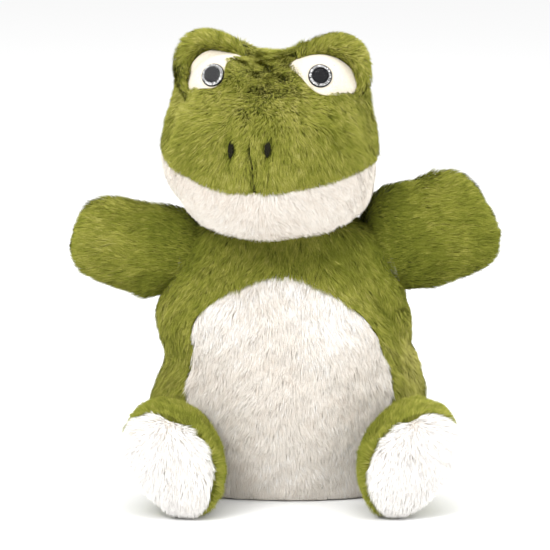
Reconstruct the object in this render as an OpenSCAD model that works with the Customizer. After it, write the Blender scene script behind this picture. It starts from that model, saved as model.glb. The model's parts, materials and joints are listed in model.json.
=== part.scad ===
// Plush frog hand puppet. Units are millimetres, +Z is up and the front faces -Y.
// The origin is on the surface it stands on, at the middle of everything seen from above. The
// shapes are drawn about the middle of the open hem, and in_frame() moves them there.

/* [Body] */
// Half of the body's width at its widest
body_half_width = 65; // [60:0.5:68]
// Half of the body's depth at its widest
body_half_depth = 42; // [39:0.5:44]
// Height of the shoulder line above the hem
shoulder_height = 135; // [133:0.5:136]
// Thickness of the plush, backing and pile together
plush_thickness = 2.6; // [2:0.1:3]
// Thickness of the lining cloth
lining_thickness = 0.8; // [0.6:0.1:1]
// Height of the turned-up hem facing
hem_height = 16; // [10:1:20]
// Number of stitches around the hem
hem_stitches = 44; // [30:1:60]

/* [Head] */
// Height of the neck pivot above the hem
neck_height = 138; // [137.5:0.5:138.5]
// How far the neck sits towards the puppet's right hand
neck_shift = 8; // [6:1:9]
// How far the head is turned at rest, in degrees
head_yaw = 10; // [0:1:12]
// Radius inside the finger pocket in the head
pocket_radius = 9.5; // [8.5:0.5:9.5]
// Depth of the finger pocket, from its mouth to its closed end
pocket_depth = 52; // [40:1:56]
// Diameter of the clear eyes
eye_diameter = 12; // [10:0.5:13]
// Radius of the brow rolls over the eyes
brow_radius = 5.2; // [4:0.1:5.4]

/* [Arms] */
// How far the arm on the left of the front view reaches from its shoulder
left_arm_reach = 53; // [50:1:60]
// How far the arm on the right of the front view reaches from its shoulder
right_arm_reach = 54; // [50:1:60]
// Upward slope of the left arm, in degrees
left_arm_slope = 10; // [5:1:15]
// Upward slope of the right arm, in degrees
right_arm_slope = 17; // [10:1:20]

/* [Feet] */
// Length of a foot, from its seam to the middle of its sole
foot_length = 60; // [54:1:62]
// How far a foot is turned out, in degrees
toe_out = 20; // [10:1:24]
// Height of the middle of a foot
foot_height = 27; // [27:0.5:29]

/* [Hidden] */

green = [0.49, 0.50, 0.21];
cream = [0.95, 0.93, 0.88];
lining_color = [0.72, 0.70, 0.55];
thread_color = [0.22, 0.21, 0.12];

hem_thickness = 1;
stitch_radius = 0.35;
seam_gap = 0.3;       // room between neighbouring panels, in millimetres of arc
layer_gap = 0.5;      // room between the plush and what lies behind it
shell_depth = plush_thickness + layer_gap;
hem_middle = [2, 24.5, 0];
left = -1;            // the left of the front view, where the puppet's right hand is
right = 1;

neck_radius = 13;
cup_radius = 16.2;    // hollow under the head, which turns about the neck pivot

// A row of a loft is one cross-section:
// [half width, depth to the front, depth to the back, height, drop at the front, rise at the
// sides, sideways shift]
body_rows = [
    [0.89 * body_half_width, 0.86 * body_half_depth, 0.81 * body_half_depth, 0, 0, 0, 0],
    [0.94 * body_half_width, 0.91 * body_half_depth, 0.86 * body_half_depth, 15, 0, 0, 0],
    [0.985 * body_half_width, 0.98 * body_half_depth, 0.93 * body_half_depth, 40, 0, 0, 0],
    [body_half_width, body_half_depth, 0.97 * body_half_depth, 70, 0, 0, 0],
    [0.95 * body_half_width, 0.90 * body_half_depth, 0.90 * body_half_depth, 98, 0, 0, -1],
    [0.87 * body_half_width, 0.79 * body_half_depth, 0.80 * body_half_depth, 114, 0, 0, -2],
    [0.75 * body_half_width, 0.62 * body_half_depth, 0.66 * body_half_depth, 126, 0, 0, -3],
    [0.55 * body_half_width, 0.44 * body_half_depth, 0.48 * body_half_depth,
        shoulder_height - 2, 0, 0, -5],
    [0.30 * body_half_width, 16, 16, shoulder_height, 0, 0, -neck_shift],
    [neck_radius, neck_radius, neck_radius, shoulder_height + 1, 0, 0, -neck_shift],
    [neck_radius, neck_radius, neck_radius, neck_height + 1, 0, 0, -neck_shift]
];
body_top = len(body_rows) - 1;

// The head is lofted from the neck opening, round the jaw and up to the crown, about its pivot
head_rows = [
    [17, 17, 17, 5.5, 0, 0, 0],
    [27, 31, 25, 5.5, -1, 0, 0],
    [34, 41, 33, 5.5, -5, 0, -1],
    [40, 48, 37, 9, -11.5, 0, -2],
    [46, 55, 40, 16, -11, 0, -2],
    [53, 61, 42, 26, -8, 0, -2],
    [56, 64, 42.5, 37, -4, 0, -2],
    [55, 60, 42.5, 50, 0, 0, -2],
    [52, 53, 41, 62, 0, 0, -2],
    [49.5, 43, 38, 72, 1, 2, -2],
    [46, 30, 32, 81, 0, 6, -2],
    [38, 17, 22, 87, 0, 9, -2],
    [20, 7, 9, 89.5, 0, 8, -2],
    [2, 1, 1, 90, 0, 0, -2]
];
head_top = len(head_rows) - 1.08;
mouth_row = 5.4;      // where the mouth seam runs, as a row of the head's loft
face_angle = 89.5;    // from the head's front to the seam at its side

arm_rows = [
    [11, 11, 11, -15.5, 0, 0, 0],
    [15.5, 15, 15, -10.9, 0, 0, 0],
    [18.3, 16.5, 16.5, -4.6, 0, 0, 0],
    [18.8, 16, 16, 3, 0, 0, 0],
    [19.5, 14.5, 14.5, 13, 0, 0, 0],
    [22.5, 13.5, 13.5, 26, 0, 0, 0],
    [24.5, 13, 13, 38, 0, 0, 0],
    [22, 11.5, 11.5, 49, 0, 0, 0],
    [13, 7.5, 7.5, 56, 0, 0, 0],
    [2, 1.5, 1.5, 58, 0, 0, 0]
];
arm_top = len(arm_rows) - 1.1;
arm_drawn_reach = 58;

// A foot is lofted from its seam at the body to the middle of its sole
foot_rows = [
    [4, 4, 4, 0, 0, 0, 0],
    [13, 15, 8.5, 0.08 * foot_length, 0, 0, 0],
    [20, 23, 13.5, 0.28 * foot_length, 0, 0, 0],
    [23, 26, 21, 0.52 * foot_length, 0, 0, 0],
    [24, 0.995 * foot_height, 26, 0.72 * foot_length, 0, 0, 0],
    [23, 26.3, 25.5, 0.85 * foot_length, 0, 0, 0],
    [19, 22, 21, 0.94 * foot_length, 0, 0, 0],
    [10, 11, 11, 0.99 * foot_length, 0, 0, 0],
    [1.2, 1.2, 1.2, foot_length, 0, 0, 0]
];
sole_row = 5;         // where the sole's seam runs, as a row of the foot's loft
foot_top = len(foot_rows) - 1.1;

// The belly panel's edge, from the hem to its top: [half angle, row]
belly_edge = [
    [36, 0], [46, 0.8], [55, 2.1], [51, 3.1], [38, 4], [21, 4.7], [4, 4.95]
];
belly_top = len(belly_edge) - 1;

armhole_row = 5.75;   // middle of an armhole, as a row of the body
armhole_rows = 1.95;  // from there to its top and bottom
armhole_angle = 52;   // how far it reaches from the side seam

left_shoulder_x = -59.5;
right_shoulder_x = 54.5;
shoulder_y = 3;
shoulder_z = 120;
foot_seam_x = 42;
foot_seam_y = -32.5;
// Pairs are for the left and the right of the face
eye_angle = [27.5, 37.5];  // from the head's front to an eye
eye_row = 9.3;
eye_white_center = [[38.5, 9.9], [45.5, 9.75]];
eye_white_radius = [[17.5, 0.85], [26, 0.85]];
eye_white_tilt = 0.75;     // rows from its outer corner up to its inner one, halved
brow_path = [
    [[46, 8.7], [54, 9.3], [53, 9.9], [48, 10.5], [38, 10.9], [22, 10.9]],
    [[67, 8.7], [71, 9.3], [69, 9.85], [61, 10.4], [47, 10.6], [33, 10.5], [22, 10.25]]
];
eye_height = 2.6;     // from the skin to an eye's flange
eye_turn = 14;        // an eye's axis is turned outwards and then leant back
eye_lean = 66;
shank_radius = 2.2;
shank_length = 18;
shank_hole = shank_radius + 0.4;
flange_thickness = 0.9;
iris_thickness = 0.4;
pupil_thickness = 0.3;
eye_gap = 0.1;        // between the layers of an eye
iris_height = flange_thickness + eye_gap;
pupil_height = iris_height + iris_thickness + eye_gap;
dome_height = pupil_height + pupil_thickness + eye_gap;
dome_rise = 4.4;
washer_depth = 15;    // from an eye's flange to its washer
washer_radius = 6;
washer_thickness = 2;
pocket_wall = 1.2;
pocket_base = 12.4;   // from the neck pivot to the pocket's mouth
arm_plush = 2;
foot_plush = 2.2;

// ---- Functions -------------------------------------------------------------------------------

function mix(a, b, t) = a + (b - a) * t;

function pick(side, pair) = side == left ? pair[0] : pair[1];

// A smooth curve through the rows of a table, at a fractional row
function row_at(rows, v) =
    let (
        last = len(rows) - 1,
        i = max(0, min(last - 1, floor(v))),
        t = v - i,
        a = rows[max(0, i - 1)],
        b = rows[i],
        c = rows[i + 1],
        d = rows[min(last, i + 2)]
    )
    0.5 * (2 * b + (c - a) * t + (2 * a - 5 * b + 4 * c - d) * t * t
        + (3 * b - a - 3 * c + d) * t * t * t);

// A point of a loft: u is the angle about +Z from +X, and v is the row
function loft_point(rows, u, v) =
    let (r = row_at(rows, v), c = cos(u), s = sin(u))
    [r[6] + r[0] * c, (s < 0 ? r[1] : r[2]) * s, r[3] - r[4] * s + r[5] * c * c];

// The same point moved inwards along the surface's normal
function skin_point(rows, u, v, depth) =
    let (
        step = 0.02,
        across = loft_point(rows, u + 1, v) - loft_point(rows, u - 1, v),
        up = loft_point(rows, u, v + step) - loft_point(rows, u, v - step),
        normal = cross(across, up)
    )
    loft_point(rows, u, v) - depth * normal / norm(normal);

function halves(quads) = [for (q = quads) each [[q[0], q[1], q[2]], [q[0], q[2], q[3]]]];

// The angle of an arc of the body that is seam_gap wide
function gap_angle(radius) = seam_gap / radius * 180 / PI;

// How far an armhole reaches from the side seam, in degrees, at a row of the body. The lining is
// cut back by some more rows above and below it.
function armhole(v, more = 0) =
    let (t = abs(v - armhole_row) / (armhole_rows + more))
    gap_angle(body_half_depth) + (t < 1 ? armhole_angle * (1 - pow(t, 4)) : 0);

function belly_point(t) = row_at(belly_edge, t);

// A walk along the belly panel's edge, up one side and down the other: [angle, row]
function arch_point(s, grow) =
    let (t = belly_top * (1 - abs(2 * s - 1)), p = belly_point(t), side = s < 0.5 ? -1 : 1)
    [-90 + side * (p[0] + grow), p[1] + grow / 25 * t / belly_top];

// A walk along the front panel's outer edge: side seam, neck, side seam
function front_edge_point(s) =
    let (
        neck_share = 0.12,
        side = s < 0.5 ? -1 : 1,
        t = (1 - abs(2 * s - 1)) / (1 - neck_share),
        v = body_top * min(1, t),
        neck_turn = t > 1 ? (t - 1) * (1 - neck_share) / neck_share : 0
    )
    [-90 + side * (90 - armhole(v)) * (1 - neck_turn), v];

// ---- Shape builders --------------------------------------------------------------------------

// A thick patch of a loft. edge(s, t) gives the angle and the row at each place of the patch.
module panel(rows, edge, columns, steps, depth, thickness, wrap = false) {
    across = wrap ? columns : columns + 1;
    points = [
        for (layer = [0, 1], j = [0:steps], i = [0:across - 1])
            let (place = edge(i / columns, j / steps))
            skin_point(rows, place[0], place[1], depth + layer * thickness)
    ];
    function at(i, j, layer) = layer * across * (steps + 1) + j * across + (i % across);
    quads = [
        for (j = [0:steps - 1], i = [0:columns - 1]) each [
            [at(i, j, 0), at(i, j + 1, 0), at(i + 1, j + 1, 0), at(i + 1, j, 0)],
            [at(i, j, 1), at(i + 1, j, 1), at(i + 1, j + 1, 1), at(i, j + 1, 1)]
        ],
        for (i = [0:columns - 1]) each [
            [at(i, 0, 0), at(i + 1, 0, 0), at(i + 1, 0, 1), at(i, 0, 1)],
            [at(i + 1, steps, 0), at(i, steps, 0), at(i, steps, 1), at(i + 1, steps, 1)]
        ],
        if (!wrap) for (j = [0:steps - 1]) each [
            [at(0, j + 1, 0), at(0, j, 0), at(0, j, 1), at(0, j + 1, 1)],
            [at(columns, j, 0), at(columns, j + 1, 0), at(columns, j + 1, 1), at(columns, j, 1)]
        ]
    ];
    polyhedron(points, halves(quads), convexity = 8);
}

// A closed solid inside a loft, with a flat cap at each end
module loft_solid(rows, first, last, depth, columns, steps) {
    ring = [
        for (j = [0:steps], i = [0:columns - 1])
            skin_point(rows, i * 360 / columns, mix(first, last, j / steps), depth)
    ];
    function middle(j) = [for (k = [0:2]) [for (i = [0:columns - 1]) ring[j * columns + i][k]]
        * [for (i = [0:columns - 1]) 1 / columns]];
    function at(i, j) = j * columns + (i % columns);
    low = len(ring);
    sides = halves([
        for (j = [0:steps - 1], i = [0:columns - 1])
            [at(i, j), at(i, j + 1), at(i + 1, j + 1), at(i + 1, j)]
    ]);
    caps = [
        for (i = [0:columns - 1]) each [
            [at(i, 0), at(i + 1, 0), low],
            [at(i + 1, steps), at(i, steps), low + 1]
        ]
    ];
    polyhedron(concat(ring, [middle(0), middle(steps)]), concat(sides, caps), convexity = 6);
}

// A round roll that follows a path, thick in the middle and thin at its ends
module roll(path, radius, sides) {
    last = len(path) - 1;
    rings = [
        for (j = [0:last])
            let (
                along = path[min(last, j + 1)] - path[max(0, j - 1)],
                a = cross(along, [0, 0, 1]),
                b = cross(a, along),
                r = radius * (0.35 + 0.65 * sqrt(sin(180 * (j + 0.5) / (last + 1))))
            )
            for (i = [0:sides - 1])
                let (q = i * 360 / sides)
                path[j] + r * (cos(q) * a / norm(a) + sin(q) * b / norm(b))
    ];
    function at(i, j) = j * sides + (i % sides);
    walls = halves([
        for (j = [0:last - 1], i = [0:sides - 1])
            [at(i, j), at(i + 1, j), at(i + 1, j + 1), at(i, j + 1)]
    ]);
    ends = [[for (i = [sides - 1:-1:0]) at(i, 0)], [for (i = [0:sides - 1]) at(i, last)]];
    polyhedron(rings, concat(walls, ends), convexity = 4);
}

// A band of a ball between two angles from its pole
module ball_band(radius, thickness, from_angle, to_angle) {
    steps = 6;
    function arc(r, a, b) = [
        for (k = [0:steps])
            let (q = mix(a, b, k / steps))
            [r * sin(q), r * cos(q)]
    ];
    rotate_extrude($fn = 64)
        polygon(concat(
            arc(radius + thickness, from_angle, to_angle),
            arc(radius, to_angle, from_angle)
        ));
}

// ---- Places ----------------------------------------------------------------------------------

module in_frame() {
    translate(hem_middle) children();
}

module at_neck() {
    in_frame() translate([-neck_shift, 0, neck_height]) children();
}

module at_head() {
    at_neck() rotate([0, 0, -head_yaw]) children();
}

// Puts +Z of its children along an eye's axis, with the origin on the skin
module at_eye(side) {
    place = skin_point(head_rows, -90 + side * pick(side, eye_angle), eye_row, -eye_height);
    translate(place) rotate([0, 0, side * eye_turn]) rotate([eye_lean, 0, 0]) children();
}

module at_shoulder(side) {
    slope = pick(side, [left_arm_slope, right_arm_slope]);
    x = pick(side, [left_shoulder_x, right_shoulder_x]);
    in_frame() translate([x, shoulder_y, shoulder_z])
        mirror([side == left ? 1 : 0, 0, 0])
            rotate([0, 90 - slope, 0]) children();
}

module at_foot(side) {
    in_frame() translate([side * foot_seam_x, foot_seam_y, foot_height])
        rotate([0, 0, side * toe_out]) rotate([90, 0, 0]) children();
}

// ---- Body ------------------------------------------------------------------------------------

module body_front() {
    color(green)
        in_frame() panel(body_rows, function(s, t)
                mix(front_edge_point(1 - s), arch_point(1 - s, 0.4), t),
            72, 5, 0, plush_thickness);
}

module belly_panel() {
    color(cream)
        in_frame() panel(body_rows, function(s, t) let (p = belly_point(belly_top * t))
            [-90 + (2 * s - 1) * p[0], p[1]], 14, 12, 0, plush_thickness);
}

module body_back() {
    color(green)
        in_frame() panel(body_rows, function(s, t) let (v = body_top * t)
            [mix(armhole(v), 180 - armhole(v), s), v], 16, 20, 0, plush_thickness);
}

module lining(front) {
    first_row = 0.15;
    color(lining_color)
        in_frame() panel(body_rows, function(s, t) let (
                v = mix(first_row, body_top - 2.2, t),
                a = armhole(v, 0.8) + 0.8,
                turn = front ? -180 : 0
            )
            [turn + mix(a, 180 - a, s), v], 14, 14, shell_depth + 0.3, lining_thickness);
}

module lining_front() {
    lining(true);
}

module lining_back() {
    lining(false);
}

// A flat ring that follows the hem, seen from below
module hem_outline(depth) {
    polygon([for (u = [0:7.5:359]) let (p = skin_point(body_rows, u, 0, depth)) [p[0], p[1]]]);
}

module hem_band() {
    depth = shell_depth + lining_thickness + 1;
    color(lining_color)
        in_frame() linear_extrude(height = hem_height)
            difference() {
                hem_outline(depth);
                hem_outline(depth + hem_thickness);
            }
}

module hem_stitching() {
    stitch = 3.4;
    color(thread_color)
        for (i = [0:hem_stitches - 1]) {
            u = (i + 0.5) * 360 / hem_stitches;
            depth = shell_depth + lining_thickness + hem_thickness + 1.5;
            a = skin_point(body_rows, u - 1, 0, depth);
            b = skin_point(body_rows, u + 1, 0, depth);
            in_frame() translate((a + b) / 2 + [0, 0, hem_height - 4])
                rotate([0, 0, atan2(b[1] - a[1], b[0] - a[0])])
                    rotate([0, 90, 0])
                        cylinder(h = stitch, r = stitch_radius, center = true, $fn = 24);
        }
}

module care_label() {
    label = [22, 0.6, 26];
    inside = skin_point(body_rows, 90, 0, shell_depth + lining_thickness + hem_thickness + 2);
    color("white")
        in_frame() translate([-label[0] / 2, inside[1] - label[1] - 1.4, 5])
            cube(label);
}

// ---- Neck ------------------------------------------------------------------------------------

module neck_seam_lower() {
    color(lining_color)
        at_neck() ball_band(neck_radius + 0.6, 0.6, 50.5, 80);
}

module neck_seam_upper() {
    color(lining_color)
        at_neck() ball_band(neck_radius + 1.8, 0.6, 44.5, 80);
}

// ---- Head ------------------------------------------------------------------------------------

// One half of the face, from the seam down its middle to the seam at its side
module face_half(side) {
    gap = gap_angle(50);
    color(green)
        at_head() difference() {
            panel(head_rows, function(s, t) [
                -90 + side * mix(gap, face_angle, side == right ? s : 1 - s),
                mix(mouth_row + 0.03, head_top, t)
            ], 12, 13, 0, plush_thickness);
            at_eye(side)
                translate([0, 0, -washer_depth]) cylinder(h = 24, r = shank_hole, $fn = 32);
        }
}

module head_back() {
    start = face_angle - 90 + gap_angle(25);
    color(green)
        at_head()
            panel(head_rows, function(s, t) [mix(start, 180 - start, s), mix(0.1, head_top, t)],
                18, 16, 0, plush_thickness);
}

module head_left() {
    face_half(left);
}

module head_right() {
    face_half(right);
}

module chin_panel() {
    color(cream)
        at_head()
            panel(head_rows, function(s, t) [
                -90 + mix(-face_angle, face_angle, s), mix(0.1, mouth_row, t)
            ], 22, 8, 0, plush_thickness);
}

module head_stuffing() {
    depth = shell_depth + 1.6;
    color("white")
        at_head() difference() {
            loft_solid(head_rows, 0.9, head_top - 0.4, depth, 26, 12);
            sphere(r = cup_radius, $fn = 64);
            cylinder(h = pocket_base + pocket_depth + 1.6,
                r = pocket_radius + pocket_wall + 0.4, $fn = 64);
            for (side = [left, right])
                at_eye(side) {
                    translate([0, 0, -shank_length - 2]) cylinder(h = 34, r = shank_hole, $fn = 32);
                    translate([0, 0, -washer_depth - 0.6])
                        cylinder(h = washer_thickness + 1.2, r = washer_radius + 1, $fn = 48);
                }
        }
}

module finger_pocket() {
    color(lining_color)
        at_head() translate([0, 0, pocket_base]) difference() {
            cylinder(h = pocket_depth + pocket_wall, r = pocket_radius + pocket_wall, $fn = 64);
            translate([0, 0, -1]) cylinder(h = pocket_depth + 1, r = pocket_radius, $fn = 64);
        }
}

// A place on an eye patch, from -1 to 1 across it and up it: [angle, row]
function eye_spot(side, x, y) =
    let (center = pick(side, eye_white_center), radius = pick(side, eye_white_radius))
    [-90 + side * (center[0] - radius[0] * x), center[1] + radius[1] * y + eye_white_tilt * x];

// A round patch of short pile, cut out for the eye's flange and shank
module eye_white(side) {
    color(cream)
        at_head() difference() {
            panel(head_rows, function(s, t)
                    let (x = -side * (2 * s - 1), y = 2 * t - 1)
                    eye_spot(side, x * sqrt(1 - y * y / 2), y * sqrt(1 - x * x / 2)),
                12, 10, -1.2, 0.9);
            at_eye(side) {
                translate([0, 0, -eye_gap]) cylinder(h = 12, d = eye_diameter + 0.4, $fn = 64);
                translate([0, 0, -washer_depth]) cylinder(h = 24, r = shank_hole, $fn = 32);
            }
        }
}

module eye_white_left() {
    eye_white(left);
}

module eye_white_right() {
    eye_white(right);
}

module brow(side) {
    bends = 13;
    line = pick(side, brow_path);
    path = [
        for (k = [0:bends])
            let (place = row_at(line, (len(line) - 1) * k / bends))
            skin_point(head_rows, -90 + side * place[0], place[1], -brow_radius - 0.8)
    ];
    color(green)
        at_head() roll(path, brow_radius, 10);
}

module brow_left() {
    brow(left);
}

module brow_right() {
    brow(right);
}

// Eye parts, from the cloth outwards: flange of the shank, iris disc, pupil disc, clear dome
module eye_shank(side) {
    color("black")
        at_head() at_eye(side) {
            cylinder(h = flange_thickness, d = eye_diameter, $fn = 64);
            translate([0, 0, -shank_length]) cylinder(h = shank_length, r = shank_radius, $fn = 48);
        }
}

module eye_iris(side) {
    color("silver")
        at_head() at_eye(side)
            translate([0, 0, iris_height])
                cylinder(h = iris_thickness, d = eye_diameter - 1, $fn = 64);
}

module eye_pupil(side) {
    color("black")
        at_head() at_eye(side)
            translate([0, 0, pupil_height])
                cylinder(h = pupil_thickness, d = eye_diameter * 0.6, $fn = 64);
}

module eye_dome(side) {
    radius = eye_diameter / 2;
    ball = (radius * radius + dome_rise * dome_rise) / (2 * dome_rise);
    color([0.85, 0.9, 0.95, 0.5])
        at_head() at_eye(side) translate([0, 0, dome_height])
            intersection() {
                translate([0, 0, dome_rise - ball]) sphere(r = ball, $fn = 96);
                cylinder(h = dome_rise + 1, r = radius + 1, $fn = 96);
            }
}

module eye_washer(side) {
    color("white")
        at_head() at_eye(side) translate([0, 0, -washer_depth])
            difference() {
                cylinder(h = washer_thickness, r = washer_radius, $fn = 64);
                translate([0, 0, -1])
                    cylinder(h = washer_thickness + 2, r = shank_radius + 0.1, $fn = 48);
            }
}

// An upright oval of satin stitches on the muzzle
module nostril(side) {
    color(thread_color)
        at_head()
            panel(head_rows, function(s, t) [
                -90 + side * 10 + (2 * s - 1) * 1.6 * sqrt(1 - 0.9 * pow(2 * t - 1, 2)),
                mix(6.45, 7, t)
            ], 3, 6, -0.9, 0.7);
}

module nose_stitch() {
    color(thread_color)
        at_head()
            panel(head_rows, function(s, t) [-90 + (2 * s - 1) * 0.6, mix(5.6, 6.5, t)],
                2, 6, -0.7, 0.5);
}

module mouth_stitch() {
    color(thread_color)
        at_head()
            panel(head_rows, function(s, t) [mix(-176, -4, s), mouth_row + mix(-0.04, 0.06, t)],
                24, 1, -0.7, 0.5);
}

// ---- Arms ------------------------------------------------------------------------------------

// The arm's rows, stretched beyond its root to the reach of that side
function rows_of_arm(side) =
    let (stretch = pick(side, [left_arm_reach, right_arm_reach]) / arm_drawn_reach)
    [for (r = arm_rows) [r[0], r[1], r[2], r[3] > 3 ? r[3] * stretch : r[3], 0, 0, 0]];

module arm_skin(side, front) {
    gap = gap_angle(16);
    color(green)
        at_shoulder(side)
            panel(rows_of_arm(side), function(s, t) [
                (front ? -180 : 0) + mix(gap, 180 - gap, s), mix(0, arm_top, t)
            ], 10, 12, 0, arm_plush);
}

module arm_lining(side) {
    color(lining_color)
        at_shoulder(side)
            panel(rows_of_arm(side), function(s, t) [s * 360, mix(3.2, 6.9, t)],
                16, 6, arm_plush + 0.6, 0.7, wrap = true);
}

module shoulder_seam(side) {
    color(lining_color)
        at_shoulder(side) rotate([180, 0, 0]) ball_band(13.2, 0.8, 56, 80);
}

// ---- Feet ------------------------------------------------------------------------------------

module foot_upper(side) {
    color(green)
        at_foot(side)
            panel(foot_rows, function(s, t) [s * 360, mix(0, sole_row, t)],
                20, 7, 0, foot_plush, wrap = true);
}

module foot_sole(side) {
    color(cream)
        at_foot(side)
            panel(foot_rows, function(s, t) [s * 360, mix(sole_row + 0.06, foot_top, t)],
                20, 4, 0, foot_plush, wrap = true);
}

module foot_filling(side) {
    color("white")
        at_foot(side)
            loft_solid(foot_rows, 1, foot_top - 0.6, foot_plush + 0.8, 16, 7);
}

body_front();
belly_panel();
body_back();
lining_front();
lining_back();
hem_band();
hem_stitching();
care_label();
neck_seam_lower();
neck_seam_upper();
head_left();
head_right();
head_back();
chin_panel();
head_stuffing();
finger_pocket();
eye_white_left();
eye_white_right();
brow_left();
brow_right();
eye_dome(left);  // eye_dome_left
eye_dome(right);  // eye_dome_right
eye_iris(left);  // eye_iris_left
eye_iris(right);  // eye_iris_right
eye_pupil(left);  // eye_pupil_left
eye_pupil(right);  // eye_pupil_right
eye_shank(left);  // eye_shank_left
eye_shank(right);  // eye_shank_right
eye_washer(left);  // eye_washer_left
eye_washer(right);  // eye_washer_right
nostril(left);  // nostril_left
nostril(right);  // nostril_right
nose_stitch();
mouth_stitch();
shoulder_seam(left);  // shoulder_seam_left
arm_skin(left, true);  // arm_left_front
arm_skin(left, false);  // arm_left_back
arm_lining(left);  // arm_left_lining
shoulder_seam(right);  // shoulder_seam_right
arm_skin(right, true);  // arm_right_front
arm_skin(right, false);  // arm_right_back
arm_lining(right);  // arm_right_lining
foot_upper(left);  // foot_left_upper
foot_sole(left);  // foot_left_sole
foot_filling(left);  // foot_left_filling
foot_upper(right);  // foot_right_upper
foot_sole(right);  // foot_right_sole
foot_filling(right);  // foot_right_filling
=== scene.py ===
"""Looks of the plush frog hand puppet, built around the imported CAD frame.

Lengths in the tables are in millimetres, and every mesh is in metres.
Each plush panel is two pieces: the cloth itself, and the pile that grows from it.
"""

import json
import math

import bpy
import numpy as np
from mathutils import Matrix, Vector, kdtree


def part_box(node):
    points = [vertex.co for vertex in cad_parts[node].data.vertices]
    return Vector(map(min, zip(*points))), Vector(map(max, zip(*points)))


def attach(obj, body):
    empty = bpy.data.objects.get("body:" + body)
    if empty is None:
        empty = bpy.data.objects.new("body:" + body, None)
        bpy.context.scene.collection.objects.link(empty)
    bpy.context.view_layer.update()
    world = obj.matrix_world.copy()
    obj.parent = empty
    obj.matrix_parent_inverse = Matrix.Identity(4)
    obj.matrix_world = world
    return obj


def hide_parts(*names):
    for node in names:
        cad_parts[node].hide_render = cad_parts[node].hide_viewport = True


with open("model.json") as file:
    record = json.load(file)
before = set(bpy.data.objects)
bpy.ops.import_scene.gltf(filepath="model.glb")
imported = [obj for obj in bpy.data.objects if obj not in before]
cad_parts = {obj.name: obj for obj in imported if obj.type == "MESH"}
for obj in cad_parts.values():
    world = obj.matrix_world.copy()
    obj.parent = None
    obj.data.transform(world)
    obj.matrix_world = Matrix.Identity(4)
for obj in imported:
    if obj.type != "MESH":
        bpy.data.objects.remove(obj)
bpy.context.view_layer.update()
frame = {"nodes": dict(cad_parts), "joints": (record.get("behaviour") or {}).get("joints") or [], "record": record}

MM = 0.001
JOINTS = {joint["name"]: joint for joint in frame["joints"]}
LEFT = -1  # the left of the front view
RIGHT = 1
SIDES = {"left": LEFT, "right": RIGHT}
COARSER = 1

# ---- Places, from the frame ----


def joint_place(name):
    """A joint's pivot at rest, in millimetres."""
    return np.array(JOINTS[name]["pos_m"]) / MM


def size_of(*nodes):
    """Lowest and highest corner round some CAD nodes, in millimetres."""
    corners = [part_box(node) for node in nodes]
    low = np.min([c[0] for c in corners], axis=0) / MM
    high = np.max([c[1] for c in corners], axis=0) / MM
    return low, high


body_low, body_high = size_of("body_front", "body_back")
seam_y = size_of("body_back")[0][1]  # the side seams lie in this plane
HEM_MIDDLE = np.array([(body_low[0] + body_high[0]) / 2, seam_y, 0.0])
NECK = joint_place("head_turn")
SHOULDERS = {LEFT: joint_place("arm_left_swing"), RIGHT: joint_place("arm_right_swing")}
FOOT_SEAMS = {LEFT: joint_place("foot_left_flap"), RIGHT: joint_place("foot_right_flap")}
HEAD_YAW = 10  # degrees that the face is turned towards the left arm
ARM_SLOPES = {LEFT: 13, RIGHT: 20}  # degrees that the arms rise outwards
TOE_OUT = 20  # degrees

# ---- Rows of the lofts ----
# half width, depth to the front, depth to the back, height, drop at the front, rise at the
# sides, sideways shift

BODY_ROWS = np.array([
    [58, 36, 34, 1, 0, 0, 0],
    [62, 38.5, 36, 12, 0, 0, 0],
    [67, 41, 38.5, 30, 0, 0, -0.5],
    [70, 42.5, 40.5, 48, 0, 0, -1],
    [68, 42.5, 41, 58, 0, 0, 0],
    [64.5, 42, 41, 70, 0, 0, 0],
    [64, 41, 40, 80, 0, 0, -2.5],
    [65.2, 39, 38, 90, 0, 0, -3.8],
    [64, 36.5, 36, 100, 0, 0, -4.2],
    [62, 33.5, 33.5, 109, 0, 0, -4],
    [59, 29.5, 30, 118, 0, 0, -3],
    [57, 24, 27.5, 127, 0, 0, -1.5],
    [50, 21, 26, 135, 0, 0, -2],
    [34, 20, 24, 141, 0, 0, -4.5],
    [15, 16, 17, 145, 0, 0, -6.5],
])
BODY_TOP = len(BODY_ROWS) - 1

HEAD_ROWS = np.array([
    [17, 17, 17, 5.5, 0, 0, 0],
    [27, 31, 25, 5, -1, 0, 0],
    [38, 41, 33, 4.6, -5, 0, 2.2],
    [45.5, 48, 37, 8, -11.5, 0, 1.8],
    [51.3, 55, 40, 15.5, -11, 0, 0.6],
    [55.6, 61, 42, 26, -8, 0, -2.2],
    [57, 64, 42.5, 37, -4, 0, -3],
    [55, 60, 42.5, 50, 0, 0, -2.4],
    [52, 53, 41, 62, 0, 0, -2.2],
    [49.5, 43, 38, 72, 1, 2, -1.8],
    [46, 30, 32, 80.5, 0, 6, -1.8],
    [38, 17, 22, 86, 0, 9, -2],
    [20, 7, 9, 88, 0, 8, -2],
    [2, 1, 1, 88.5, 0, 0, -2],
])
HEAD_TOP = len(HEAD_ROWS) - 1.02

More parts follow.
